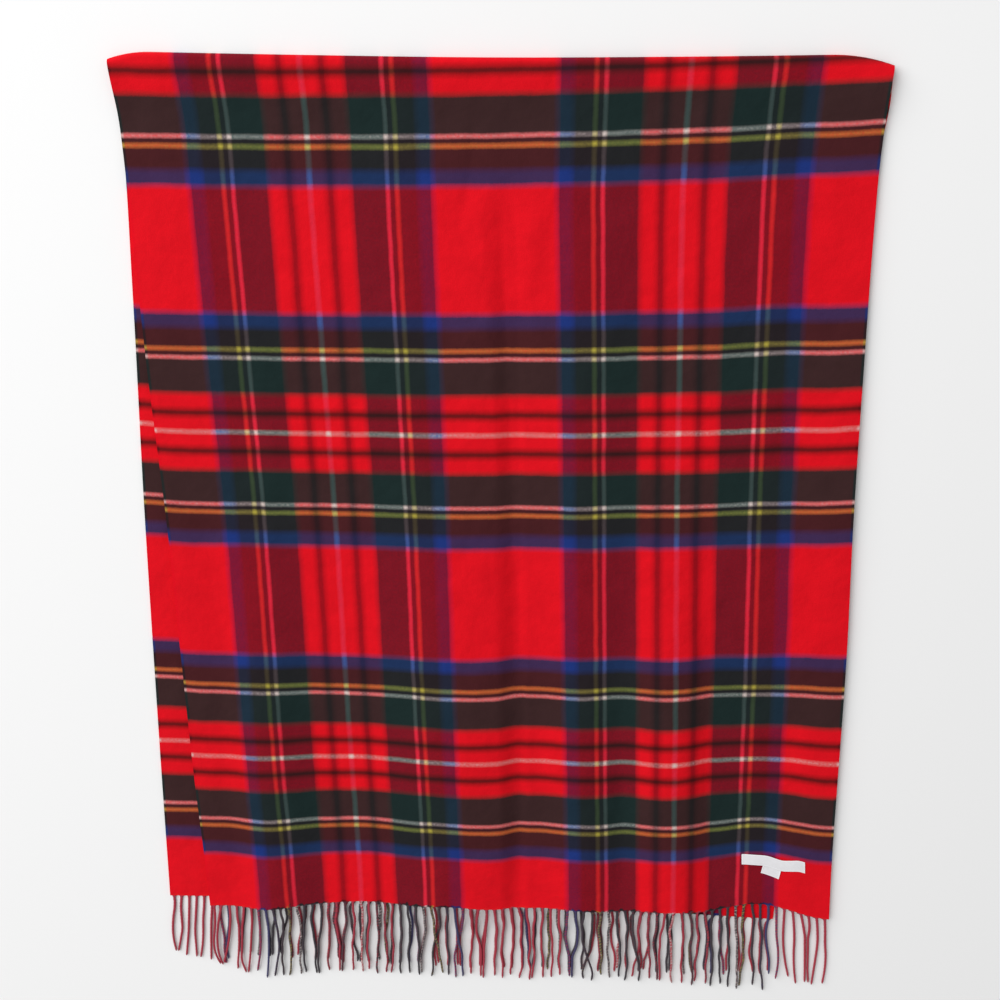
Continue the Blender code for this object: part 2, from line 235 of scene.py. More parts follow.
# Bare warp at the hems: how far its grain reaches, what stays hidden of that, its blend, its share.
BARE_REACH, BARE_HIDDEN, BARE_BLEND, BARE_SHARE = 14, 5, 1.5, 0.85
# Two values of a grain, and the darker and the lighter shade that they give.
SHADES = (("cloud", 0.25, 0.75, 0.93, 1.07), ("nap", 0.3, 0.7, 0.94, 1.06))
TWILL_HEIGHT, NAP_HEIGHT, RUMPLE_HEIGHT = 0.015, 0.25, 3.2

# The strands' yarn and the labels' ribbon. A relief is the strength of its bump.
PLY_GRAIN, PLY_BLUR = 1.4, 18  # how finely a ply's threads mingle, and over what width of cloth
PLY_SHADE = (0.5, 0.56)  # painted shade of the twist: how much lighter a light ply shows, and what is left of a black one
FIBRE_SHEEN_SHARE = 0.14  # how much of a strand its loose fibre ends cover, with their sheen painted in
FUZZ_GRAIN, FUZZ_HEIGHT, FUZZ_RELIEF = 0.7, 0.3, 0.6
RIB_PITCH, PICK_PITCH = 0.9, 1.4
RIBBON_GRAIN, RIBBON_TONES, RIBBON_HEIGHT, RIBBON_RELIEF = 5, (0.92, 1.04), 0.08, 0.5
BORDER = 4  # width in which the greys of the ribbon's edge have their places, as shares, inwards
BORDER_GREYS = ((0.0, 1.0), (0.30, 1.0), (0.38, 0.84), (0.46, 0.91))

# --- Fringes and labels --------------------------------------------------------------------------
Tip = namedtuple("Tip", "across y")
FRONT_TIPS = (
    Tip(-325, -484),
    Tip(-265, -499),
    Tip(-190, -489),
    Tip(0, -488),
    Tip(160, -484),
    Tip(270, -490),
    Tip(352, -488),
)
BACK_TIPS = (
    Tip(-352, -477),
    Tip(-335, -475),
    Tip(-318, -470),
    Tip(-100, -475),
    Tip(200, -474),
    Tip(352, -466),
)
SAMPLES = np.linspace(0, 1, 26)  # places along a strand where its line is worked out
TIP_JITTER, TIP_USUAL = 5, 0.2  # most that a tip is off its row, and the share that is usual
ROOT_INSIDE = 1.2  # how far a root starts inside the hem
FAN = 0.021  # how much the strands spread outwards, for each mm from the middle
ARCH = 3  # radius of the small arch between two roots
TURN_IN, TURN_FROM = 7, 1  # length over which a flat root turns to the strand, and its start
TWIST_FROM = TURN_IN * 0.35  # where the plies start to turn round each other
TAPER = (1.62, 0.46)  # thickness at the root, and what of it goes by the tip, in yarns
PRESSED = (0.55, 0.35)  # a strand's height to its width at the root, and what it gains
GROOVE = 0.58  # a strand's radius between its plies, as a share of its largest
PLY_SIDES = 8  # a strand's vertices around
CUTS = (11, 11)  # cuts along a strand, made in two goes: 144 rings
LOOSE = 0.15  # gap between a strand and what it lies on
LEAST_GAP = 0.05  # the same where a root turns
COME_DOWN = 0.5  # where a front strand has come down, as a share of its way
BACK_DOWN = 0.25  # where a back strand has, as a share of its length
ON_TOP = 1.5  # how much higher a front strand rests on the back ones, in half heights
LAST_DROP = 4  # least length in which it comes down past them
BACK_REACH = -478  # along Y, just past the longest back strand
BACK_CORNER = 312  # along X, just past the last back strand
FRONT_CORNER = -322  # along X, just before the first front strand
SEEDS = (11, 4)  # of the front and the back fringe
GRAIN_STEP = 7.3  # how far one strand's grain is along the yarn from the next one's
ROOT_HALF = WALL * 0.46  # half the height of a root where it leaves the wall
ROOT_ROUND = 0.85  # half the width of a flat root past its arch, as a share of the strand's
TIP_FROM, TIP_SHARE = 0.985, 0.7  # where a strand is cut off, and how thick its end is
OVERLAP = 0.05  # how far a root reaches into the next one's place, so no gap shows
STRAND_GAP, PUSHES = 0.15, 60  # gap between strands, and goes in which close ones push apart
WAVES_GROW, PUSH_GROWS = 5, 8  # a strand's waves grow over its first fifth, a push over an eighth
SLOPE_STEP = 0.01  # share of a strand's length to each side over which its slope is taken

# How the strands between run. A pair is the least and the most of a random draw.
LEAN = 1.3  # spread of how far the tips lean
WAVES, SMALL_WAVES = (1.0, 1.7), (3.0, 4.5)  # waves in a strand's length
WAVE_SHARE, SMALL_WAVE = 0.8, 0.35  # their heights, the first as a share of the sway
NEAREST = 8  # how near a back strand has to be to the front one that it settles along
BESIDE, STRAY, STRAY_WAVES = (0.3, 1.5), 1.5, (1.0, 2.2)  # how it runs beside it, in half waves
# Where that has begun, and where two strands lean together or cross, as shares of their length.
SETTLED_BY = 0.14
MEET_FROM, MEET_BY = (0.15, 0.75), (0.85, 1.1)
CROSS_FROM, CROSS_OVER, CROSS_HALF = (0.15, 0.45), 0.45, 0.34
BACK_MEETING = 0.4  # how often back strands lean together, as a share of the front ones' chance
CROSS_LIFT = 2.1  # how far the upper one of two that cross is lifted, in half heights

# The outer strands lie apart, so each has a line of its own: how far it stands to +X of its root at
# each fifth of its length, and where its tip is along Y.
Drawn = namedtuple("Drawn", "strand tip one two three four five")
DRAWN_BACK = (
    Drawn(0, -467.6, -0.5, -3.2, -5.1, -5.2, -3.4),
    Drawn(1, -467.5, -2, -2.4, -2.8, -5.9, -9.4),
    Drawn(2, -473.3, -1.2, -2.7, -4.4, -6.8, -9.2),
    Drawn(3, -474.6, -1.8, -3.8, -5.5, -5.8, -6),
    Drawn(4, -475.1, -1.6, -3.7, -4.9, -6.9, -10.1),
    Drawn(5, -478, -1.1, -3, -4.5, -5.7, -6.8),
    Drawn(6, -482, -0.2, 0.3, 1.9, 2.1, 7.1),
    Drawn(7, -476, 0.3, 0.4, -2.3, -6.1, -8.3),
)
DRAWN_FRONT = (
    Drawn(0, -483.3, -0.5, -2, -4.5, -4, 1.5),
    Drawn(1, -484.3, -4, -7.5, -9, -8.5, -5),
    Drawn(2, -481.9, -0.1, -1.8, -4.2, -8, -12.5),
    Drawn(3, -489.3, -0.6, 0.7, -0.6, -3.1, -5.2),
    Drawn(4, -494, -2.6, -5.6, -6.7, -7.6, -4.3),
    Drawn(5, -493.7, -0.7, -2.7, -4.6, -6.9, -10.1),
    Drawn(6, -491.1, -0.6, -1, -1.6, -4.1, -7.8),
    Drawn(7, -500.1, 0.5, 0, -1, -2.8, -5.6),
    Drawn(8, -497.7, 1, 2.3, 2.4, -1, -5.1),
    Drawn(70, -470.4, 0.9, -0.6, 1.7, 5.3, 6.3),
    Drawn(71, -476.5, 1.2, 2.5, 5.4, 6.6, 5.2),
    Drawn(72, -474.5, 0.5, 1.2, 3, 6.2, 10.6),
    Drawn(73, -483.3, 2.9, 5, 5.7, 7.5, 10.5),
    Drawn(74, -481, 4.5, 8, 9.6, 10.5, 11.5),
    Drawn(75, -481.2, 2.5, 2, 3, 4.5, 6.5),
    Drawn(76, -484, 2.5, 4, 3.5, 2.5, 1.5),
    Drawn(77, -482.2, 2, 3.5, 5.5, 5.8, 4.5),
)

# A label's slips are how far it lies towards the hem of its straight line, at the stops, which run
# from its -X end to its +X end.
LABEL_STOPS = (-1, -0.6, -0.2, 0.25, 0.5, 0.8, 1)
Label = namedtuple("Label", "name node across along width depth turn lift slips")
LABELS = (
    Label("care_label", "label_care", 282.7, 857.4, 20.1, 14, 14.2, 0.1, (0,) * 7),
    Label("woven_label", "label_main", 285.4, 842.8, 69.4, 13.3, 0, 1,
          (0.2, 1.8, 2.6, 5.4, 4, 1.5, 1.8)),
)
LABEL_CELLS = (70, 14)  # along a label and across it
LABEL_HEM, HEM_SLOPE, HEM_RISE = 1.5, 0.4, 0.18  # width of its folded ends, their slope and height
LABEL_SEAT = 0.12  # gap between the cloth and a label's ends
PROUD = (0.8, 0.2)  # shares of its lift at its long edges, and what its middle has besides
RIPPLE, RIPPLE_TURN, RIPPLE_PHASE = 0.10, 8, 0.6  # height, and the angles of its sine
STITCHES = 6  # stitches at each end of the woven label
STITCH = (1.5, 0.32)  # length and thickness of one stitch
STITCH_INSET = (0.35, 0.8)  # from the label's end, and from its long edges
STITCH_RISE, STITCH_DIP = 0.22, 1.5  # its middle above the label, and how steeply its ends dip
STITCH_TAPER, STITCH_END = 1.7, 0.05  # how it thins, and the least that is left
STITCH_STEP = 3  # spacing of the stitches while they are made

# Colours.
RED = "D70A1C"
RED_WARP = "D71A1D"
RED_YARN = "C81A35"
BLUE = "1C3172"
BLACK = "231D20"
MAROON = "460F12"  # the narrow black lines, with the red fibres around them milled in
GREEN = "192827"
YELLOW = "AC9E40"
WHITE = "D6C5BF"
RIBBON = "F1F0F3"
FLOOR = "F0F0F0"
FIBRE_SHEEN = "9E8695"  # loose fibre ends over a strand, with their sheen painted in as a pale veil

# --- The stage, in metres ------------------------------------------------------------------------
FLOOR_SIZE, FLOOR_DROP = 9.0, 0.4 * MM
KEY_SPOT, KEY_SIZE = Vector((-3.2, 2.7, 3.3)), 6.5
CAMERA_SPOT, CAMERA_TARGET = Vector((0.0609, 0.4056, 1.1043)), Vector((0.005, 0.079, 0.0))
SENSOR, LENS = 36.0, 41.36  # in millimetres


def linear(code):
    """Linear RGB of an sRGB hex code."""
    parts = [int(code[i:i + 2], 16) / 255 for i in (0, 2, 4)]
    return tuple(c / 12.92 if c <= 0.04045 else ((c + 0.055) / 1.055) ** 2.4 for c in parts)


# --- Curves through the tables. Every function takes and gives numpy arrays ----------------------
def smooth(t):
    """Ease from 0 to 1."""
    t = np.clip(t, 0.0, 1.0)
    return t * t * (3 - 2 * t)


def through(stops, values, at):
    """The smooth curve through values at stops."""
    stops, values = np.array(stops, float), np.array(values, float)
    slopes = np.empty_like(values)
    slopes[1:-1] = (values[2:] - values[:-2]) / (stops[2:] - stops[:-2])
    slopes[0] = (values[1] - values[0]) / (stops[1] - stops[0])
    slopes[-1] = (values[-1] - values[-2]) / (stops[-1] - stops[-2])
    at = np.clip(at, stops[0], stops[-1])
    i = np.clip(np.searchsorted(stops, at) - 1, 0, len(stops) - 2)
    span = stops[i + 1] - stops[i]
    t = (at - stops[i]) / span
    return ((1 + 2 * t) * (1 - t) ** 2 * values[i] + t * t * (3 - 2 * t) * values[i + 1]
            + t * (1 - t) ** 2 * span * slopes[i] + t * t * (t - 1) * span * slopes[i + 1])


def read(rows, key, field, at):
    """One column of a table, read between its rows."""
    return through([getattr(r, key) for r in rows], [getattr(r, field) for r in rows], at)


def bend_across(left, mid, right, across):
    """A gentle curve through the left, middle and right values."""
    t = across / TABLE_HALF
    return mid + t * (right - left) / 2 + t * t * ((left + right) / 2 - mid)


def hump(distance, half):
    """A soft rounded profile: 1 in the middle, 0 from half its width outwards."""
    return np.cos(np.minimum(np.abs(distance) / half, 1.0) * math.pi / 2) ** 2


def laid_x(across, along):
    """Place along X of a point of cloth."""
    shift = [read(SECTIONS, "along", f, along) for f in ("x_left", "x_mid", "x_right")]
    place = across + bend_across(*shift, across)
    for drift in DRIFTS:
        place = place + (through(STATIONS, drift.amounts, along)
                         * hump(across - drift.across, drift.half))
    return place


def laid_sum(across, along):
    """Place along Y plus the cloth between the point and the middle line."""
    reach = [read(SECTIONS, "along", f, along) for f in ("y_left", "y_mid", "y_right")]
    total = bend_across(*reach, across)
    for pull in PULLS:
        total = total + (through(STATIONS, pull.amounts, along)
                         * hump(across - pull.across, pull.half))
    return total


def bend_line(across):
    """The middle of the bend: its place along Y, and the cloth's along value at its crest."""
    crest = read(CREST, "across", "y", across)
    for corner in CORNERS:
        inset = SHEET_HALF - corner.side * across
        crest = crest - corner.droop * np.maximum(0.0, 1 - inset / corner.reach) ** 2
    middle = crest - LOOP_RADIUS
    return middle, laid_sum(across, 0.0 * across) - middle - QUARTER


def rise(across, along):
    """How far the long folds lift the front half."""
    total = 0.0 * along
    for ridge in RIDGES:
        line = ridge.top + (ridge.hem - ridge.top) * along / STATIONS[-1]
        total = total + through(STATIONS, ridge.heights, along) * hump(across - line, ridge.half)
    return np.maximum(total, 0.0)


def rest_level(across, along):
    """Height of the front half's outer face where no fold lifts it."""
    back_right = SHEET_HALF + bend_across(
        *[read(SECTIONS, "along", f, -along) for f in ("x_left", "x_mid", "x_right")], SHEET_HALF)
    past = laid_x(across, along) - back_right - 2 * WALL
    on_back = 2 * WALL + GAP
    return on_back + (LOW_LEVEL + WALL - on_back) * smooth(past / LOW_REACH)


def creasing(across, along):
    """Height that the smaller creases add."""
    total = 0.0 * along
    for row in CREASES:
        start = np.array((row.from_across, row.from_along))
        run = np.array((row.to_across, row.to_along)) - start
        length = math.hypot(*run)
        step = run / length
        t = ((across - start[0]) * step[0] + (along - start[1]) * step[1]) / length
        aside = (across - start[0]) * -step[1] + (along - start[1]) * step[0]
        aside = aside - row.bow * 4 * np.clip(t, 0, 1) * (1 - np.clip(t, 0, 1))
        ends = smooth(t / CREASE_FADE) * smooth((1 - t) / CREASE_FADE)
        left = aside if run[1] > 0 else -aside
        half = np.where(left > 0, row.left, row.right)
        total = total + row.height * ends * np.exp(-np.abs(aside / half) ** CREASE_EDGE)
    return total


def to_across(side, along):
    """The across value of a point given as a share of the half width."""
    left = read(SECTIONS, "along", "left", along)
    right = read(SECTIONS, "along", "right", along)
    return (left + right) / 2 + side * (right - left) / 2


def cloth_points(across, along):
    """Points of the cloth's outer face, in metres."""
    across, along = np.broadcast_arrays(np.asarray(across, float), np.asarray(along, float))
    middle, crest_along = bend_line(across)
    past = along - crest_along
    total = laid_sum(across, along)
    rest = rest_level(across, along)
    on_front = total - along
    high = rest + (2 * LOOP_RADIUS - rest) * (1 - smooth((past - QUARTER) / LOOP_FALL))
    folds = rise(across, along) + creasing(across, along)
    high = high + np.maximum(folds, LOWEST)
    turn = np.clip(past, -QUARTER, QUARTER) / LOOP_RADIUS
    at_bend = middle - (crest_along - QUARTER)
    settled = smooth((-past - QUARTER) / SETTLE)
    on_back = at_bend + (total - at_bend) * settled + along
    front, back = past > QUARTER, past <= -QUARTER
    y = np.where(front, on_front, np.where(back, on_back, middle + LOOP_RADIUS * np.cos(turn)))
    z = np.where(front, high, np.where(back, 0.0, LOOP_RADIUS * (1 + np.sin(turn))))
    return np.stack((laid_x(across, along), y, z), -1) * MM


# --- Small helpers -------------------------------------------------------------------------------
def feed(node, inputs):
    """Set a node's inputs, each to a value or to the socket that feeds it."""
    for socket, value in inputs.items():
        if isinstance(value, bpy.types.NodeSocket):
            node.id_data.links.new(value, node.inputs[socket])
        else:
            node.inputs[socket].default_value = value


def add_node(tree, kind, inputs=(), out=0, **settings):
    """Add a shader node with its inputs, by place or by name, and give one of its outputs."""
    node = tree.nodes.new("ShaderNode" + kind)
    for name, value in settings.items():
        setattr(node, name, value)
    feed(node, inputs if isinstance(inputs, dict) else dict(enumerate(inputs)))
    return node.outputs[out]


def new_material(name):
    """A material, what adds a node to it, and its Principled shader."""
    made = bpy.data.materials.new(name)
    made.use_nodes = True
    return made, partial(add_node, made.node_tree), made.node_tree.nodes["Principled BSDF"]


def deselect():
    """Leave edit mode and select nothing."""
    if bpy.context.object and bpy.context.object.mode != "OBJECT":
        bpy.ops.object.mode_set(mode="OBJECT")
    bpy.ops.object.select_all(action="DESELECT")


def active(name):
    """The object just made, named, with its mesh named like it."""
    made = bpy.context.object
    made.name = made.data.name = name
    return made


def corners_of(item):
    """All the vertices of an object's mesh as an array."""
    spots = np.empty(len(item.data.vertices) * 3)
    item.data.vertices.foreach_get("co", spots)
    return spots.reshape(-1, 3)


def move_corners(item, spots):
    """Write an object's vertices back."""
    item.data.vertices.foreach_set("co", np.asarray(spots, float).ravel())
    item.data.update()


def write_map(item, name, values):
    """A UV map from a value pair for each corner of a face, in metres of cloth or yarn."""
    layer = item.data.uv_layers.get(name) or item.data.uv_layers.new(name=name)
    layer.uv.foreach_set("vector", np.asarray(values, np.float32).ravel())


def loop_vertices(item):
    """The vertex that each face corner uses."""
    found = np.empty(len(item.data.loops), np.int32)
    item.data.loops.foreach_get("vertex_index", found)
    return found


def apply_all(item):
    """Apply an object's modifiers, in order."""
    bpy.context.view_layer.objects.active = item
    for modifier in list(item.modifiers):
        bpy.ops.object.modifier_apply(modifier=modifier.name)


def repeat(item, count, step):
    """Copy an object's mesh in a row, each copy a step from the last."""
    copies = item.modifiers.new("row", "ARRAY")
    copies.count = count
    copies.use_relative_offset = False
    copies.use_constant_offset = True
    copies.constant_offset_displace = step
    apply_all(item)


def give_wall(item, thickness, even):
    """Thicken a sheet inwards from its outer face."""
    wall = item.modifiers.new("wall", "SOLIDIFY")
    wall.thickness = thickness
    wall.offset = -1.0
    wall.use_even_offset = even
    apply_all(item)


def face_outwards(item):
    """Turn the faces of closed parts outwards, once their vertices have moved, and smooth them."""
    bpy.context.view_layer.objects.active = item
    bpy.ops.object.mode_set(mode="EDIT")
    bpy.ops.mesh.select_all(action="SELECT")
    bpy.ops.mesh.normals_make_consistent(inside=False)
    bpy.ops.object.mode_set(mode="OBJECT")
    bpy.ops.object.shade_smooth_by_angle(angle=math.radians(60))


# --- Materials -----------------------------------------------------------------------------------
def yarn_ramp(add, settings, threads, system, **instead):
    """The weft or warp yarn at a place in the half sett, given in threads."""
    ramp = add("ValToRGB", [add("Math", (threads, HALF_SETT), operation="DIVIDE")])
    stops, start = ramp.node.color_ramp.elements, 0.0
    # A narrow stripe blends over its whole width. The pivot is mirrored, so it is twice its row.
    widths = [getattr(stripe, system) for stripe in SETT]
    widths[0] *= 2
    blends = [min(SOFT, NARROW * min(pair)) for pair in zip(widths, widths[1:])]
    for index, stripe in enumerate(SETT):
        yarn = instead.get(stripe.yarn, stripe.yarn)
        end = start + getattr(stripe, system)
        places = (start + blends[index - 1] if index else 0.0,
                  end - blends[index] if index < len(blends) else HALF_SETT)
        for side, place in enumerate(places):
            stop = stops[side] if index == 0 else stops.new(place / HALF_SETT)
            stop.position = place / HALF_SETT
            stop.color = (*getattr(settings, yarn), 1.0)
        start = end
    return ramp


def sett_place(add, length, pitch, offset):
    """Distance in metres as threads, and as a place in the half sett, back and forth."""
    threads = add("Math", (length, 1 / (pitch * MM), offset), operation="MULTIPLY_ADD")
    return threads, add("Math", (threads, HALF_SETT), operation="PINGPONG")


def woven_wave(add, place, pitch):
    """The rise and fall of threads along a place, once for each pitch."""
    turn = add("Math", (place, 2 * math.pi / pitch), operation="MULTIPLY")
    return add("Math", [turn], operation="SINE")


def tartan_material(settings):
    """Brushed two-and-two twill: soft, matt, with a raised nap that hides most of the weave."""
    made, add, shader = new_material("brushed_wool_twill")
    uv = add("UVMap", uv_map="cloth")
    grains = {grain.name: add("TexNoise", {
        "Vector": uv, "Scale": 1 / (grain.size * MM), "Detail": grain.detail,
        "Roughness": grain.roughness}).node.outputs for grain in WOOL_GRAINS}

    # Threads are never quite straight, and their fibres stray: the place wanders a little.
    place = uv
    for name, reach in STRAYS:
        off = add("VectorMath", (grains[name]["Color"], (0.5, 0.5, 0.5)), operation="SUBTRACT")
        off = add("VectorMath", {0: off, "Scale": reach * MM}, operation="SCALE")
        place = add("VectorMath", (place, off), operation="ADD")
    strayed = add("SeparateXYZ", [place]).node.outputs
    warp_thread, warp_place = sett_place(add, strayed["X"], WARP_PITCH, HALF_SETT)
    weft_thread, weft_place = sett_place(add, strayed["Y"], WEFT_PITCH, 0.0)
    warp = yarn_ramp(add, settings, warp_place, "warp", red="red_warp")
    weft = yarn_ramp(add, settings, weft_place, "weft")

    # The twill line: each weft thread passes over two warp threads and under two, one step on.
    diagonal = add("Math", (warp_thread, weft_thread), operation="ADD")
    wave = woven_wave(add, diagonal, TWILL)

    # Light weft threads show their twill the most, so their share swings with it and with the nap.
    light = add("RGBToBW", [weft])
    speck = add("Math", (grains["speck"][0], SPECK_LEVEL), operation="SUBTRACT")
    swing = add("Math", (wave, SWING, speck), operation="MULTIPLY_ADD")
    swing = add("Math", (swing, light), operation="MULTIPLY")
    even = add("Math", (wave, EVEN_SWING, WEFT_SHARE), operation="MULTIPLY_ADD")
    share = add("Math", (even, swing), operation="ADD")
    woven = add("SeparateXYZ", [uv]).node.outputs
    aside = add("Math", [woven["X"]], operation="ABSOLUTE")
    edges = [(SHEET_HALF - SELVEDGE + past) * MM for past in SELVEDGE_BLEND]
    selvedge = add("MapRange", (aside, *edges, 0.0, 1.0))
    share = add("Mix", {0: selvedge, 2: share, 3: SELVEDGE_SHARE})

    # The last few picks of weft have slipped off at the hems, unevenly, so the bare warp shows.
    middle = add("Math", (woven["Y"], (FRONT_HEM + BACK_HEM) / -2 * MM), operation="ADD")
    middle = add("Math", [middle], operation="ABSOLUTE")
    reach = add("Math", (grains["bare"][0], BARE_REACH * MM, middle), operation="MULTIPLY_ADD")
    edge = ((FRONT_HEM - BACK_HEM) / 2 + BARE_HIDDEN) * MM
    hem = add("MapRange", (reach, edge, edge + BARE_BLEND * MM, 0.0, BARE_SHARE))
    share = add("Mix", {0: hem, 2: share, 3: 0.0})

    # Milled fibres mix like dyes, so the two yarns are blended as their low powers.
    warp = add("Gamma", (warp, BLEND_POWER))
    weft = add("Gamma", (weft, BLEND_POWER))
    colour = add("Mix", {0: share, 6: warp, 7: weft}, 2, data_type="RGBA")
    colour = add("Gamma", (colour, 1 / BLEND_POWER))

    # The nap lies this way and that: cloudy patches and tufts, a little lighter and darker.
    shades = [add("MapRange", (grains[name][0], *limits)) for name, *limits in SHADES]
    shade = add("Math", shades, operation="MULTIPLY")
    colour = add("VectorMath", {0: colour, "Scale": shade}, operation="SCALE")

    # Relief: the twill, the nap over it and faint rumples.
    height = 0.0
    for part, tall in ((wave, TWILL_HEIGHT), (grains["nap"][0], NAP_HEIGHT),
                       (grains["rumple"][0], RUMPLE_HEIGHT)):
        height = add("Math", (part, tall, height), operation="MULTIPLY_ADD")
    bump = add("Bump", {"Height": height, "Strength": 1.0, "Distance": MM})
    feed(shader, {"Base Color": colour, "Normal": bump, "Roughness": 0.85,
                  "Specular IOR Level": 0.06, "Sheen Weight": 0.04, "Sheen Roughness": 0.35})
    return made


def yarn_material(settings):
    """Two-ply twisted wool yarn: each ply keeps the warp colours that it was twisted from."""
    made, add, shader = new_material("twisted_wool_yarn")
    uv = add("UVMap", uv_map="cloth")
    blur = add("TexNoise", {"Vector": uv, "Scale": 1 / (PLY_GRAIN * MM), "Detail": 2.0})
    blur = add("Math", (blur, 0.5), operation="SUBTRACT")
    across = add("Math", (blur, PLY_BLUR * MM, add("SeparateXYZ", [uv])), operation="MULTIPLY_ADD")
    _, place = sett_place(add, across, WARP_PITCH, HALF_SETT)
    colour = yarn_ramp(add, settings, place, "warp", red="red_yarn", maroon="black")
    # Twisting hides much of a dark ply in shade, painted here as a darker colour. Loose fibre ends,
    # with their sheen painted in as a pale veil, dull the colour.
    open_up = add("Math", (add("RGBToBW", [colour]), *PLY_SHADE), operation="MULTIPLY_ADD")
    shaded = add("VectorMath", {0: colour, "Scale": open_up}, operation="SCALE")
    # painted sheen: a pale veil for the loose fibre ends and the light they catch
    sheened = add("Mix", {0: FIBRE_SHEEN_SHARE, 6: shaded, 7: (*linear(FIBRE_SHEEN), 1.0)}, 2, data_type="RGBA")
    fuzz = add("TexNoise", {"Vector": uv, "Scale": 1 / (FUZZ_GRAIN * MM), "Detail": 2.0})
    bump = add("Bump", {"Height": fuzz, "Strength": FUZZ_RELIEF, "Distance": FUZZ_HEIGHT * MM})
    feed(shader, {"Base Color": sheened, "Normal": bump, "Roughness": 0.85,
                  "Specular IOR Level": 0.12, "Sheen Weight": 0.08, "Sheen Roughness": 0.4})
    return made


def ribbon_material(settings):
    """Woven polyester satin ribbon: smooth, off-white, with fine ribs across it."""
    made, add, shader = new_material("polyester_satin_ribbon")
    uv = add("UVMap", uv_map="cloth")
    place = add("SeparateXYZ", [uv]).node.outputs
    rib = woven_wave(add, place["X"], RIB_PITCH * MM)
    pick = woven_wave(add, place["Y"], PICK_PITCH * MM)
    weave = add("Math", (rib, pick), operation="MULTIPLY")
    tone = add("TexNoise", {"Vector": uv, "Scale": 1 / (RIBBON_GRAIN * MM), "Detail": 3.0})
    tone = add("MapRange", (tone, 0.0, 1.0, *RIBBON_TONES))
    # The "hem" map holds the distances to the ends and to the long edges, where the ribbon is
    # folded or sealed: two layers are whiter, with a fine dark line where the fold ends.
    hem = add("SeparateXYZ", [add("UVMap", uv_map="hem")]).node.outputs
    inside = add("Math", (hem["X"], hem["Y"]), operation="MINIMUM")
    border = add("ValToRGB", [add("Math", (inside, 1 / (BORDER * MM)), operation="MULTIPLY")])
    stops = border.node.color_ramp.elements
    for index, (place, grey) in enumerate(BORDER_GREYS):
        stop = stops[index] if index < 2 else stops.new(place)
        stop.position = place
        stop.color = (grey, grey, grey, 1.0)
    tone = add("Math", (tone, border), operation="MULTIPLY")
    colour = add("VectorMath", {0: settings.ribbon, "Scale": tone}, operation="SCALE")
    bump = add("Bump", {"Height": weave, "Strength": RIBBON_RELIEF,
                        "Distance": RIBBON_HEIGHT * MM})
    feed(shader, {"Base Color": colour, "Normal": bump, "Roughness": 0.5,
                  "Specular IOR Level": 0.4, "Sheen Weight": 0.1})
    return made


def thread_material(settings):
    """Spun polyester sewing thread: off-white, with a slight shine."""
    made, _, shader = new_material("spun_polyester_thread")
    feed(shader, {"Base Color": (*settings.ribbon, 1.0), "Roughness": 0.55,
                  "Specular IOR Level": 0.4})
    return made


def floor_material(settings):
    """Matt white painted board, plain and pale."""
    made, _, shader = new_material("matt_white_board")
    feed(shader, {"Base Color": (*settings.floor, 1.0), "Roughness": 0.95,
                  "Specular IOR Level": 0.1})
    return made


# --- Pieces --------------------------------------------------------------------------------------
def crowded(stops, steps):
    """Places from the first stop to the last, with each stretch cut in steps of about its size."""
    places = [stops[0]]
    for low, high, step in zip(stops, stops[1:], steps):
        count = max(1, round((high - low) / step))
        places += [low + (high - low) * (k + 1) / count for k in range(count)]
    return np.array(places)


def weave_sheet(settings):
    """The whole cloth as one sheet: a grid laid on the folded form, then given its wall."""
    columns = crowded((-SHEET_HALF, -FINE_HALF, FINE_HALF, SHEET_HALF),
                      (WIDE_STEP, FINE_STEP, WIDE_STEP)) / SHEET_HALF
    rows = crowded((FRONT_HEM, BEND_SPAN[1], BEND_SPAN[0], BACK_HEM)[::-1],
                   (BACK_STEP, BEND_STEP, FRONT_STEP))[::-1]
    deselect()
    bpy.ops.mesh.primitive_grid_add(x_subdivisions=len(columns) - 1, y_subdivisions=len(rows) - 1,
                                    size=2.0)
    sheet = active("tartan_sheet")
    spots = corners_of(sheet)
    column = np.rint((spots[:, 0] + 1) / 2 * (len(columns) - 1)).astype(int)
    row = np.rint((spots[:, 1] + 1) / 2 * (len(rows) - 1)).astype(int)
    along = rows[row]
    across = to_across(columns[column], along)
    move_corners(sheet, cloth_points(across, along))
    woven = np.stack((columns[column] * SHEET_HALF, along), -1) * MM
    write_map(sheet, "cloth", woven[loop_vertices(sheet)])
    give_wall(sheet, settings.wall, even=True)
    bpy.ops.object.shade_smooth_by_angle(angle=math.radians(50))
    return sheet


def strand_blank(settings, pitch):
    """A row of upright strands, one for each in the fringe, a pitch apart along X."""
    deselect()
    bpy.ops.mesh.primitive_cylinder_add(vertices=PLY_SIDES, radius=pitch / 4, depth=1.0,
                                        location=(0.0, 0.0, 0.5), end_fill_type="TRIFAN")
    blank = bpy.context.object
    bpy.ops.object.transform_apply(location=True, rotation=True, scale=True)
    for cuts in CUTS:
        bpy.ops.object.mode_set(mode="EDIT")
        bpy.ops.mesh.select_mode(type="EDGE")
        bpy.ops.mesh.select_all(action="DESELECT")
        mesh = bmesh.from_edit_mesh(blank.data)
        for edge in mesh.edges:
            ends = [vert.co.z for vert in edge.verts]
            edge.select_set(abs(ends[0] - ends[1]) > 1e-4)
        bmesh.update_edit_mesh(blank.data)
        bpy.ops.mesh.subdivide(number_cuts=cuts)
        bpy.ops.object.mode_set(mode="OBJECT")
    repeat(blank, settings.strands, (pitch, 0.0, 0.0))
    return blank


def strand_radius(settings, t):
    """A strand's radius in millimetres: thick and soft at the root, thinner towards its tip."""
    return settings.yarn / MM / 2 * (TAPER[0] - TAPER[1] * t)


def half_height(settings, t):
    """Half of a strand's height: the yarn is soft, and is pressed flat near the hem."""
    return strand_radius(settings, t) * (PRESSED[0] + PRESSED[1] * smooth(t * 2))


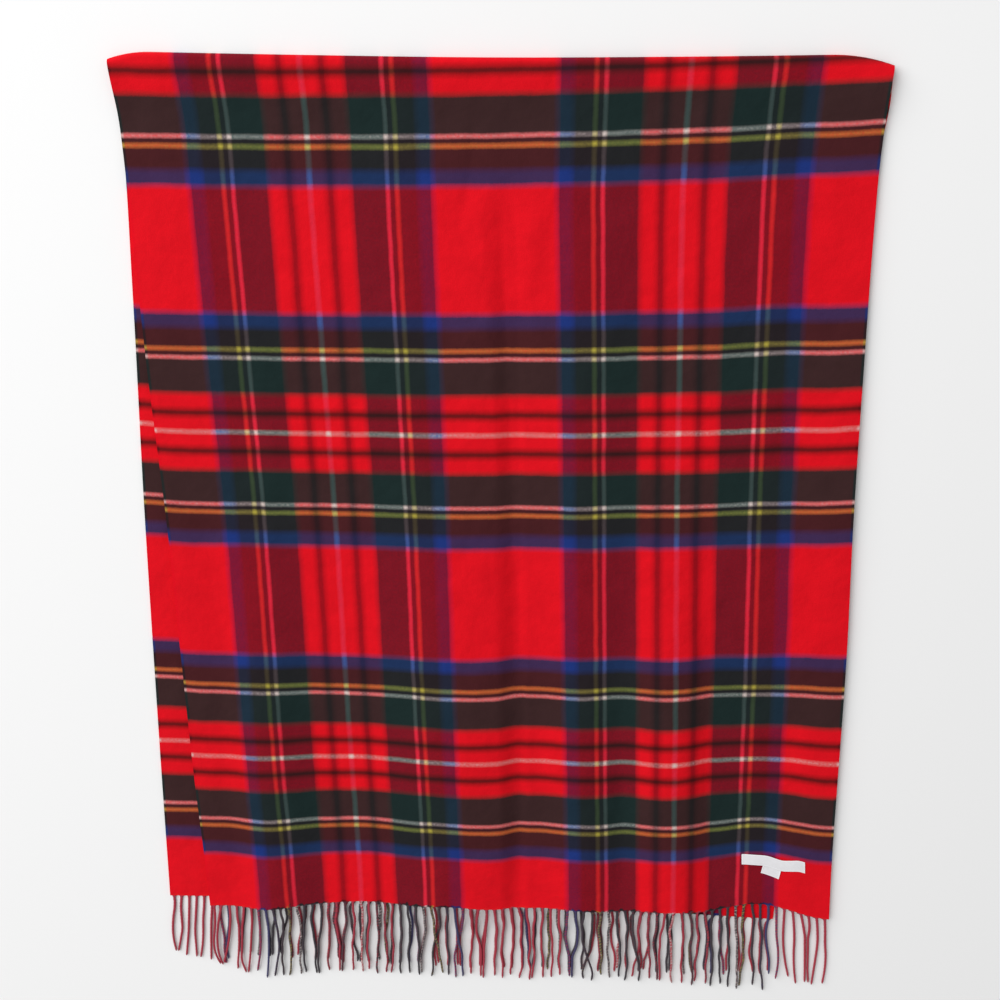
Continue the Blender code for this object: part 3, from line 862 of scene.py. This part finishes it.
def lay_lines(rng, settings, roots, length, drawn, above=None):
    """Where each strand's line stands along X at each of the samples, and how far it is lifted."""
    count, sway = len(roots), settings.sway / MM
    lines = np.empty((count, len(SAMPLES)))
    lift = np.zeros_like(lines)
    own_lines = {row.strand: row for row in drawn}
    for k in range(count):
        if k in own_lines:
            row = own_lines[k]
            lines[k] = roots[k, 0] + through(np.linspace(0, 1, 6), (0.0, *row[2:]), SAMPLES)
            continue
        lean = FAN * roots[k, 0] + rng.normal(0.0, LEAN)
        bow = rng.normal(0.0, sway)
        waves, small = rng.uniform(*WAVES), rng.uniform(*SMALL_WAVES)
        phases = rng.uniform(0, 2 * math.pi, 2)
        wobble = (sway * WAVE_SHARE * np.sin(waves * 2 * math.pi * SAMPLES + phases[0])
                  + SMALL_WAVE * np.sin(small * 2 * math.pi * SAMPLES + phases[1]))
        lines[k] = (roots[k, 0] + lean * SAMPLES + bow * np.sin(math.pi * SAMPLES)
                    + (wobble - wobble[0]) * smooth(SAMPLES * WAVES_GROW))

    # Under the front fringe a back strand has settled along the front strand over it.
    if above is not None:
        over_roots, over_length, over_lines = above
        for k in range(count):
            if k in own_lines or rng.random() > settings.settled:
                continue
            over = int(np.argmin(np.abs(over_roots[:, 0] - roots[k, 0])))
            if abs(over_roots[over, 0] - roots[k, 0]) > NEAREST:
                continue
            y = roots[k, 1] - length[k] * SAMPLES
            there = (over_roots[over, 1] - y) / over_length[over]
            beside = rng.choice((-1.0, 1.0)) * rng.uniform(*BESIDE)
            stray = rng.normal(0.0, STRAY) * np.sin(rng.uniform(*STRAY_WAVES) * math.pi * SAMPLES)
            follow = np.interp(there, SAMPLES, over_lines[over]) + beside + stray
            lines[k] += (follow - lines[k]) * smooth(SAMPLES / SETTLED_BY)

    # Some neighbours lean together from part of the way down, and some cross over each other.
    crossed = set()
    k = 0
    while k < count - 1:
        chance = rng.random()
        free = not {k, k + 1} & set(own_lines)
        if free and chance < settings.meeting * (1.0 if above is None else BACK_MEETING):
            start = rng.uniform(*MEET_FROM)
            near = smooth((SAMPLES - start) / (rng.uniform(*MEET_BY) - start))
            middle = (lines[k] + lines[k + 1]) / 2
            lines[k] += (middle - lines[k]) * near
            lines[k + 1] += (middle - lines[k + 1]) * near
            k += 2
        elif free and above is None and chance < settings.meeting + settings.crossing:
            start = rng.uniform(*CROSS_FROM)
            swap = smooth((SAMPLES - start) / CROSS_OVER)
            first, second = lines[k].copy(), lines[k + 1].copy()
            lines[k] += (second - first) * swap
            lines[k + 1] += (first - second) * swap
            lift[k] = (CROSS_LIFT * half_height(settings, 0.5)
                       * hump(SAMPLES - start - CROSS_OVER / 2, CROSS_HALF))
            crossed.add(k)
            k += 2
        else:
            k += 1

    # No two strands of one fringe lie in the same place.
    apart = 2 * strand_radius(settings, SAMPLES) + STRAND_GAP
    for _ in range(PUSHES):
        for k in range(count - 1):
            if k not in crossed:
                push = (np.maximum(apart - (lines[k + 1] - lines[k]), 0.0) / 2
                        * smooth(SAMPLES * PUSH_GROWS))
                lines[k] -= push
                lines[k + 1] += push
    return lines, lift


def fringe_roots(settings, hem, sign, tips, drawn, rng):
    """The strands' roots in millimetres, half their widths, and the strands' lengths."""
    count = settings.strands
    side = (np.arange(count) + 0.5) * 2 / count - 1
    hems = np.full(count, float(hem))
    across = to_across(side, hems)
    roots = cloth_points(across, hems - sign * ROOT_INSIDE) / MM
    roots[:, 2] += -WALL / 2 if sign > 0 else WALL / 2
    half = (laid_x(to_across(side + 1 / count, hems), hems)
            - laid_x(to_across(side - 1 / count, hems), hems)) / 2
    tip_y = read(tips, "across", "y", roots[:, 0])
    tip_y = tip_y + rng.triangular(-1, TIP_USUAL, 1, count) * TIP_JITTER
    for row in drawn:
        tip_y[row.strand] = row.tip
    return side, roots, half, roots[:, 1] - tip_y


def twist_fringe(name, settings, sign, laid_front=None):
    """One fringe: strands that leave the hem side by side as flat roots and twist to two plies."""
    front = sign > 0
    rng = np.random.default_rng(SEEDS[0] if front else SEEDS[1])
    hem, tips = (FRONT_HEM, FRONT_TIPS) if front else (BACK_HEM, BACK_TIPS)
    drawn = DRAWN_FRONT if front else DRAWN_BACK
    side, roots, half_root, length = fringe_roots(settings, hem, sign, tips, drawn, rng)
    lines, lift = lay_lines(rng, settings, roots, length, drawn, laid_front)

    pitch = 2 * SHEET_HALF * MM / settings.strands
    piece = strand_blank(settings, pitch)
    piece.name = piece.data.name = name
    spots = corners_of(piece)
    strand = np.rint(spots[:, 0] / pitch).astype(int)
    out = spots[:, 0] - strand * pitch
    angle = np.arctan2(spots[:, 1], out)
    is_hub = np.hypot(out, spots[:, 1]) < pitch / 20
    t = spots[:, 2]
    run = t * length[strand]

    # The line that each strand follows.
    x, lean, raised = np.empty_like(t), np.empty_like(t), np.empty_like(t)
    for k in range(settings.strands):
        mine = strand == k
        x[mine] = through(SAMPLES, lines[k], t[mine])
        raised[mine] = through(SAMPLES, lift[k], t[mine])
        ahead = np.minimum(t[mine] + SLOPE_STEP, 1.0)
        behind = np.maximum(t[mine] - SLOPE_STEP, 0.0)
        lean[mine] = ((through(SAMPLES, lines[k], ahead) - through(SAMPLES, lines[k], behind))
                      / ((ahead - behind) * length[k]))
    y = roots[strand, 1] - run
    radius, height = strand_radius(settings, t), half_height(settings, t)
    on_floor = LOOSE + height
    if front:
        over = (roots[strand, 0] < BACK_CORNER) & (roots[strand, 0] > FRONT_CORNER)
        rest = on_floor + np.where(over, ON_TOP * height, 0.0)
        way = (roots[strand, 1] - y) / ((roots[strand, 1] - BACK_REACH) * COME_DOWN)
        z = rest + (roots[strand, 2] - rest) * (1 - smooth(way))
        reach = np.minimum(roots[:, 1] - length, BACK_REACH - LAST_DROP)[strand]
        z = z + (on_floor - z) * smooth((BACK_REACH - y) / (BACK_REACH - reach)) + raised
    else:
        z = roots[strand, 2] + (on_floor - roots[strand, 2]) * smooth(t / BACK_DOWN)
    # Its section: as wide as the pitch where it leaves the cloth, with a small arch on each side,
    # then narrowing and turning to a twisted pair of plies.
    past = np.maximum(run - ROOT_INSIDE, 0.0)
    arch = np.sqrt(1 - (1 - np.minimum(past / ARCH, 1.0)) ** 2)
    wide = half_root[strand] + OVERLAP
    mix = smooth((past - TURN_FROM) / TURN_IN)
    flat_x = wide + (ROOT_ROUND * radius - wide) * arch
    flat_z = ROOT_HALF + (height - ROOT_HALF) * arch
    lobes = (radius * (GROOVE + (1 - GROOVE) * np.cos(angle) ** 2)
             * np.where(t > TIP_FROM, TIP_SHARE, 1.0))
    turned = angle + 2 * math.pi * np.maximum(past - TWIST_FROM, 0.0) / (settings.twist / MM)
    local_x = ((1 - mix) * flat_x + mix * lobes) * np.cos(turned)
    local_z = ((1 - mix) * flat_z + mix * lobes * height / radius) * np.sin(turned)
    z = np.maximum(z, (1 - mix) * flat_z + mix * height + LEAST_GAP)
    centre = np.stack((x, y, z), -1)
    local_x, local_z = np.where(is_hub, 0.0, local_x), np.where(is_hub, 0.0, local_z)
    tangent = np.stack((lean, -np.ones_like(t), np.zeros_like(t)), -1)
    tangent /= np.linalg.norm(tangent, axis=1)[:, None]
    aside = np.stack((-tangent[:, 1], tangent[:, 0], np.zeros_like(t)), -1)
    laid = centre + aside * local_x[:, None] + np.array((0.0, 0.0, 1.0)) * local_z[:, None]

    # Each ply takes its colour from the warp threads on its own side of the strand.
    loops = loop_vertices(piece)
    faces = np.repeat(np.arange(len(piece.data.polygons)),
                      [len(p.vertices) for p in piece.data.polygons])
    hubs = np.zeros(len(piece.data.polygons))
    np.add.at(hubs, faces, out[loops])
    ply = np.where(hubs >= 0, 1.0, -1.0)[faces]
    home = side[strand[loops]] * SHEET_HALF + ply * pitch / MM / 4
    yarn = np.stack((home, run[loops] + strand[loops] * GRAIN_STEP), -1) * MM
    move_corners(piece, laid * MM)
    write_map(piece, "cloth", yarn)
    face_outwards(piece)
    return piece, (roots, length, lines)


def label_points(row, out, down, lift):
    """Points of a label, out and down from its middle in millimetres, lifted off the cloth."""
    turn = math.radians(row.turn)
    across = row.across + out * math.cos(turn) - down * math.sin(turn)
    along = row.along + down * math.cos(turn) + out * math.sin(turn)
    along = along + through(LABEL_STOPS, row.slips, out / row.width * 2)
    points = cloth_points(across, along)
    points[..., 2] += lift * MM
    return points


def sew_label(row, settings):
    """A ribbon label: a grid laid on the cloth, held at its ends and a little proud between."""
    columns, rows = LABEL_CELLS
    deselect()
    bpy.ops.mesh.primitive_grid_add(x_subdivisions=columns, y_subdivisions=rows, size=2.0)
    label = active(row.name)
    spots = corners_of(label)
    out, down = spots[:, 0] * row.width / 2, -spots[:, 1] * row.depth / 2
    proud = (1 - spots[:, 0] ** 4) * (PROUD[0] + PROUD[1] * (1 - spots[:, 1] ** 2))
    ripple = (RIPPLE * np.sin(spots[:, 0] * RIPPLE_TURN + RIPPLE_PHASE)
              * (1 - spots[:, 0] ** 2))
    folded = HEM_RISE * smooth((LABEL_HEM - (row.width / 2 - np.abs(out))) / HEM_SLOPE)
    lift = LABEL_SEAT + settings.ribbon_wall / MM + row.lift * proud + ripple * row.lift + folded
    move_corners(label, label_points(row, out, down, lift))
    loops = loop_vertices(label)
    write_map(label, "cloth", (np.stack((out, down), -1) * MM)[loops])
    inset = np.stack((row.width / 2 - np.abs(out), row.depth / 2 - np.abs(down)), -1)
    write_map(label, "hem", (inset * MM)[loops])
    give_wall(label, settings.ribbon_wall, even=False)
    bpy.ops.object.shade_smooth_by_angle(angle=math.radians(40))
    return label


def stitch_ends(row, settings):
    """The short stitches that hold a label at its two ends, each dipping into the cloth."""
    deselect()
    bpy.ops.mesh.primitive_cylinder_add(vertices=8, radius=0.5, depth=1.0, end_fill_type="TRIFAN",
                                        rotation=(0.0, math.pi / 2, 0.0))
    bpy.ops.object.transform_apply(location=False, rotation=True, scale=False)
    bpy.ops.object.mode_set(mode="EDIT")
    bpy.ops.mesh.select_all(action="SELECT")
    bpy.ops.mesh.subdivide(number_cuts=5)
    bpy.ops.object.mode_set(mode="OBJECT")
    stitches = active("label_stitches")
    repeat(stitches, 2 * STITCHES, (0.0, STITCH_STEP, 0.0))
    spots = corners_of(stitches)
    number = np.rint(spots[:, 1] / STITCH_STEP)
    side = np.where(number < STITCHES, -1.0, 1.0)
    place = (number % STITCHES + 0.5) / STITCHES * 2 - 1
    along_it, across_it = spots[:, 0], spots[:, 1] - number * STITCH_STEP
    slim = STITCH[1] * np.sqrt(np.maximum(1 - (along_it * STITCH_TAPER) ** 2, STITCH_END))
    out = side * (row.width / 2 - STITCH_INSET[0] + STITCH[0] * along_it)
    down = place * (row.depth / 2 - STITCH_INSET[1]) + across_it * slim
    lift = (LABEL_SEAT + settings.ribbon_wall / MM + STITCH_RISE - STITCH_DIP * along_it ** 2
            + spots[:, 2] * slim)
    move_corners(stitches, label_points(row, out, down, lift))
    write_map(stitches, "cloth", (np.stack((out, down), -1) * MM)[loop_vertices(stitches)])
    face_outwards(stitches)
    return stitches


# --- Settings ------------------------------------------------------------------------------------
def colour_setting(name, description, code):
    """A colour that a user may change, given as its hex code."""
    return bpy.props.FloatVectorProperty(name=name, description=description, default=linear(code),
                                         subtype="COLOR")


def length_setting(name, description, millimetres):
    """A length that a user may change."""
    return bpy.props.FloatProperty(name=name, description=description, default=millimetres * MM,
                                   unit="LENGTH")


def chance_setting(name, description, share):
    """How often something happens, from 0 to 1."""
    return bpy.props.FloatProperty(name=name, description=description, default=share,
                                   subtype="FACTOR")


class ScarfClothSettings(bpy.types.PropertyGroup):
    """Sizes and yarn colours of the cloth."""
    wall: length_setting("Wall", "Thickness of the brushed cloth", WALL)
    red: colour_setting("Red", "Ground yarn", RED)
    red_warp: colour_setting(
        "Red warp", "Ground yarn from hem to hem, spun harder and a little duller", RED_WARP)
    red_yarn: colour_setting("Red strands", "Ground yarn of the fringes", RED_YARN)
    blue: colour_setting("Blue", "Yarn beside the red blocks", BLUE)
    black: colour_setting("Black", "Yarn beside the yellow line", BLACK)
    maroon: colour_setting("Maroon", "What shows of the narrow dark lines between the reds", MAROON)
    green: colour_setting("Green", "Dark bottle green yarn", GREEN)
    yellow: colour_setting("Yellow", "Yarn of the yellow line", YELLOW)
    white: colour_setting("White", "Yarn of the white lines", WHITE)


class ScarfFringeSettings(bpy.types.PropertyGroup):
    """Sizes of the fringes."""
    strands: bpy.props.IntProperty(
        name="Strands", description="Strands on each hem", default=78, min=2)
    yarn: length_setting("Yarn", "Thickness of a twisted strand", 2.3)
    twist: length_setting("Twist", "Length of one full turn of the plies", 3.8)
    sway: length_setting("Sway", "How far a strand bows to one side", 1.3)
    meeting: chance_setting("Meeting", "Chance that a strand leans on the next one", 0.28)
    crossing: chance_setting("Crossing", "Chance that a strand crosses over the next one", 0.07)
    settled: chance_setting("Settled", "Chance that a back strand lies along the one over it", 0.92)


class ScarfLabelSettings(bpy.types.PropertyGroup):
    """Sizes and colour of the labels."""
    ribbon: colour_setting("Ribbon", "Colour of the blank labels", RIBBON)
    ribbon_wall: length_setting("Ribbon thickness", "Thickness of the woven ribbon", 0.45)


class ScarfStageSettings(bpy.types.PropertyGroup):
    """Floor and light."""
    floor: colour_setting("Floor", "Colour of the board under the scarf", FLOOR)
    key: bpy.props.FloatProperty(
        name="Key light", description="Power of the large softbox", default=352.0, unit="POWER")
    sky: bpy.props.FloatProperty(
        name="Room light", description="Strength of the even light of the room", default=0.45)


# --- Operators -----------------------------------------------------------------------------------
class SCARF_OT_weave_cloth(bpy.types.Operator):
    """Weave the tartan sheet and lay it folded"""
    bl_idname = "scarf.weave_cloth"
    bl_label = "Weave Cloth"

    def execute(self, context):
        settings = context.scene.scarf_cloth
        sheet = weave_sheet(settings)
        sheet.data.materials.append(tartan_material(settings))
        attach(sheet, BODY)
        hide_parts("front_half", "fold", "back_half")
        return {"FINISHED"}


class SCARF_OT_twist_fringes(bpy.types.Operator):
    """Twist the strands of both fringes"""
    bl_idname = "scarf.twist_fringes"
    bl_label = "Twist Fringes"

    def execute(self, context):
        settings = context.scene.scarf_fringe
        yarn = yarn_material(context.scene.scarf_cloth)
        front, laid_front = twist_fringe("front_fringe_strands", settings, 1)
        back, _ = twist_fringe("back_fringe_strands", settings, -1, laid_front)
        for piece, node in ((front, "fringe_front"), (back, "fringe_back")):
            piece.data.materials.append(yarn)
            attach(piece, BODY)
            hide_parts(node)
        return {"FINISHED"}


class SCARF_OT_sew_labels(bpy.types.Operator):
    """Sew the two blank labels on near the front hem"""
    bl_idname = "scarf.sew_labels"
    bl_label = "Sew Labels"

    def execute(self, context):
        settings = context.scene.scarf_labels
        ribbon = ribbon_material(settings)
        for row in LABELS:
            label = sew_label(row, settings)
            label.data.materials.append(ribbon)
            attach(label, BODY)
            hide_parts(row.node)
        stitches = stitch_ends(LABELS[-1], settings)
        stitches.data.materials.append(thread_material(settings))
        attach(stitches, BODY)
        return {"FINISHED"}


class SCARF_OT_lay_out_stage(bpy.types.Operator):
    """Put down the floor, the light and the camera"""
    bl_idname = "scarf.lay_out_stage"
    bl_label = "Lay Out Stage"

    def execute(self, context):
        settings = context.scene.scarf_stage
        deselect()
        bpy.ops.mesh.primitive_plane_add(size=FLOOR_SIZE, location=(0.0, 0.0, -FLOOR_DROP))
        floor = active("floor_board")
        floor.data.materials.append(floor_material(settings))

        bpy.ops.object.light_add(type="AREA", location=KEY_SPOT)
        key = context.object
        key.data.shape = "DISK"
        key.data.size = KEY_SIZE
        key.data.energy = settings.key
        key.rotation_euler = KEY_SPOT.to_track_quat("Z", "Y").to_euler()

        world = bpy.data.worlds.new("pale_room")
        world.use_nodes = True
        feed(world.node_tree.nodes["Background"],
             {"Color": (1.0, 1.0, 1.0, 1.0), "Strength": settings.sky})
        context.scene.world = world
        context.scene.view_settings.view_transform = "Standard"

        bpy.ops.object.camera_add(location=CAMERA_SPOT)
        camera = context.object
        back = (CAMERA_SPOT - CAMERA_TARGET).normalized()
        right = Vector((0.0, 1.0, 0.0)).cross(back).normalized()
        turn = Matrix((right, back.cross(right), back)).transposed()
        camera.rotation_euler = turn.to_euler()
        camera.data.sensor_width = SENSOR
        camera.data.lens = LENS
        context.scene.camera = camera
        return {"FINISHED"}


# Each group of settings by its name in the scene, with the operator that uses it.
STEPS = (
    ("scarf_cloth", ScarfClothSettings, SCARF_OT_weave_cloth),
    ("scarf_fringe", ScarfFringeSettings, SCARF_OT_twist_fringes),
    ("scarf_labels", ScarfLabelSettings, SCARF_OT_sew_labels),
    ("scarf_stage", ScarfStageSettings, SCARF_OT_lay_out_stage),
)


class SCARF_PT_panel(bpy.types.Panel):
    """The scarf's settings and steps"""
    bl_label = "Tartan Blanket Scarf"
    bl_idname = "SCARF_PT_panel"
    bl_space_type = "VIEW_3D"
    bl_region_type = "UI"
    bl_category = "Scarf"

    def draw(self, context):
        for name, group, step in STEPS:
            box = self.layout.box()
            for field in group.__annotations__:
                box.prop(getattr(context.scene, name), field)
            box.operator(step.bl_idname)


def register():
    for name, group, step in STEPS:
        bpy.utils.register_class(group)
        bpy.utils.register_class(step)
        setattr(bpy.types.Scene, name, bpy.props.PointerProperty(type=group))
    bpy.utils.register_class(SCARF_PT_panel)


def unregister():
    bpy.utils.unregister_class(SCARF_PT_panel)
    for name, group, step in reversed(STEPS):
        delattr(bpy.types.Scene, name)
        bpy.utils.unregister_class(step)
        bpy.utils.unregister_class(group)


def main():
    register()
    bpy.ops.scarf.weave_cloth()
    bpy.ops.scarf.twist_fringes()
    bpy.ops.scarf.sew_labels()
    bpy.ops.scarf.lay_out_stage()


if __name__ == "__main__":
    main()
